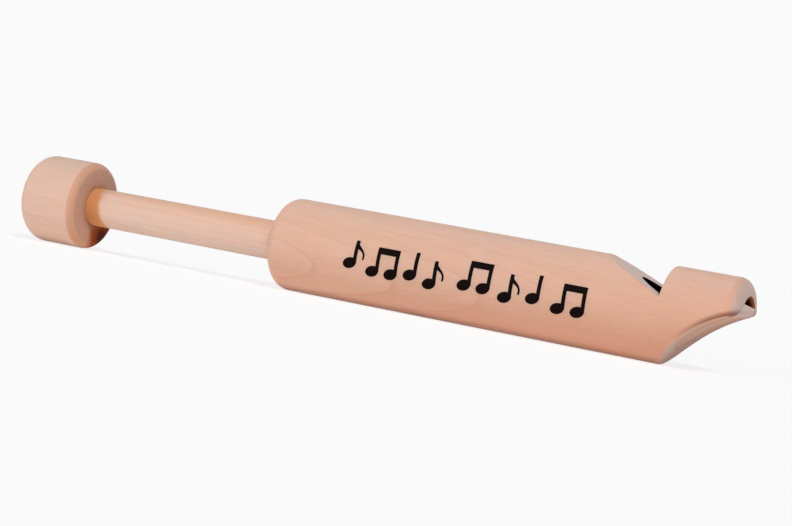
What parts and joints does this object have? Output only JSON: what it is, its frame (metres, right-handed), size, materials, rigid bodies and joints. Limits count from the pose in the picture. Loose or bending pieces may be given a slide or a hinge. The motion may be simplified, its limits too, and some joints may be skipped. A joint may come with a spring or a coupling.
{
  "type": "slide whistle",
  "caption": "Turned wooden slide whistle: bored barrel with fipple mouthpiece, and a knobbed rod that slides and turns a felt-packed piston.",
  "frame": {"origin": "on the barrel's axis, at the middle of the plain round stretch where a hand or clip holds it", "axes": "+X along the bore, out of the mouthpiece; +Z out of the window, up as the whistle is played; +Y across"},
  "size_m": [0.2337, 0.028, 0.028],
  "materials": {
    "barrel_wood": "sanded, unvarnished",
    "block_wood": "sanded, unvarnished",
    "bush_wood": "sanded, unvarnished",
    "rod_wood": "sanded, unvarnished",
    "knob_wood": "sanded, unvarnished",
    "disc_wood": "sanded, unvarnished",
    "felt": "pressed wool felt",
    "steel": "zinc-plated"
  },
  "bodies": {
    "barrel": {"barrel": "barrel_wood", "fipple_block": "block_wood", "rear_guide_bush": "bush_wood"},
    "packing": {"packing_ring": "felt"},
    "plunger": {"slide_rod": "rod_wood", "knob": "knob_wood", "piston_rear_disc": "disc_wood", "piston_front_disc": "disc_wood", "piston_washer": "steel", "piston_screw": "steel"}
  },
  "joints": [
    {"name": "plunger_slide", "type": "slide", "parent": "barrel", "child": "packing", "axis": [1, 0, 0], "range_m": [-0.0151, 0.0681]},
    {"name": "plunger_twist", "type": "hinge", "parent": "packing", "child": "plunger", "pos_m": [-0.12195, 0, 0], "axis": [1, 0, 0], "continuous": true}
  ]
}
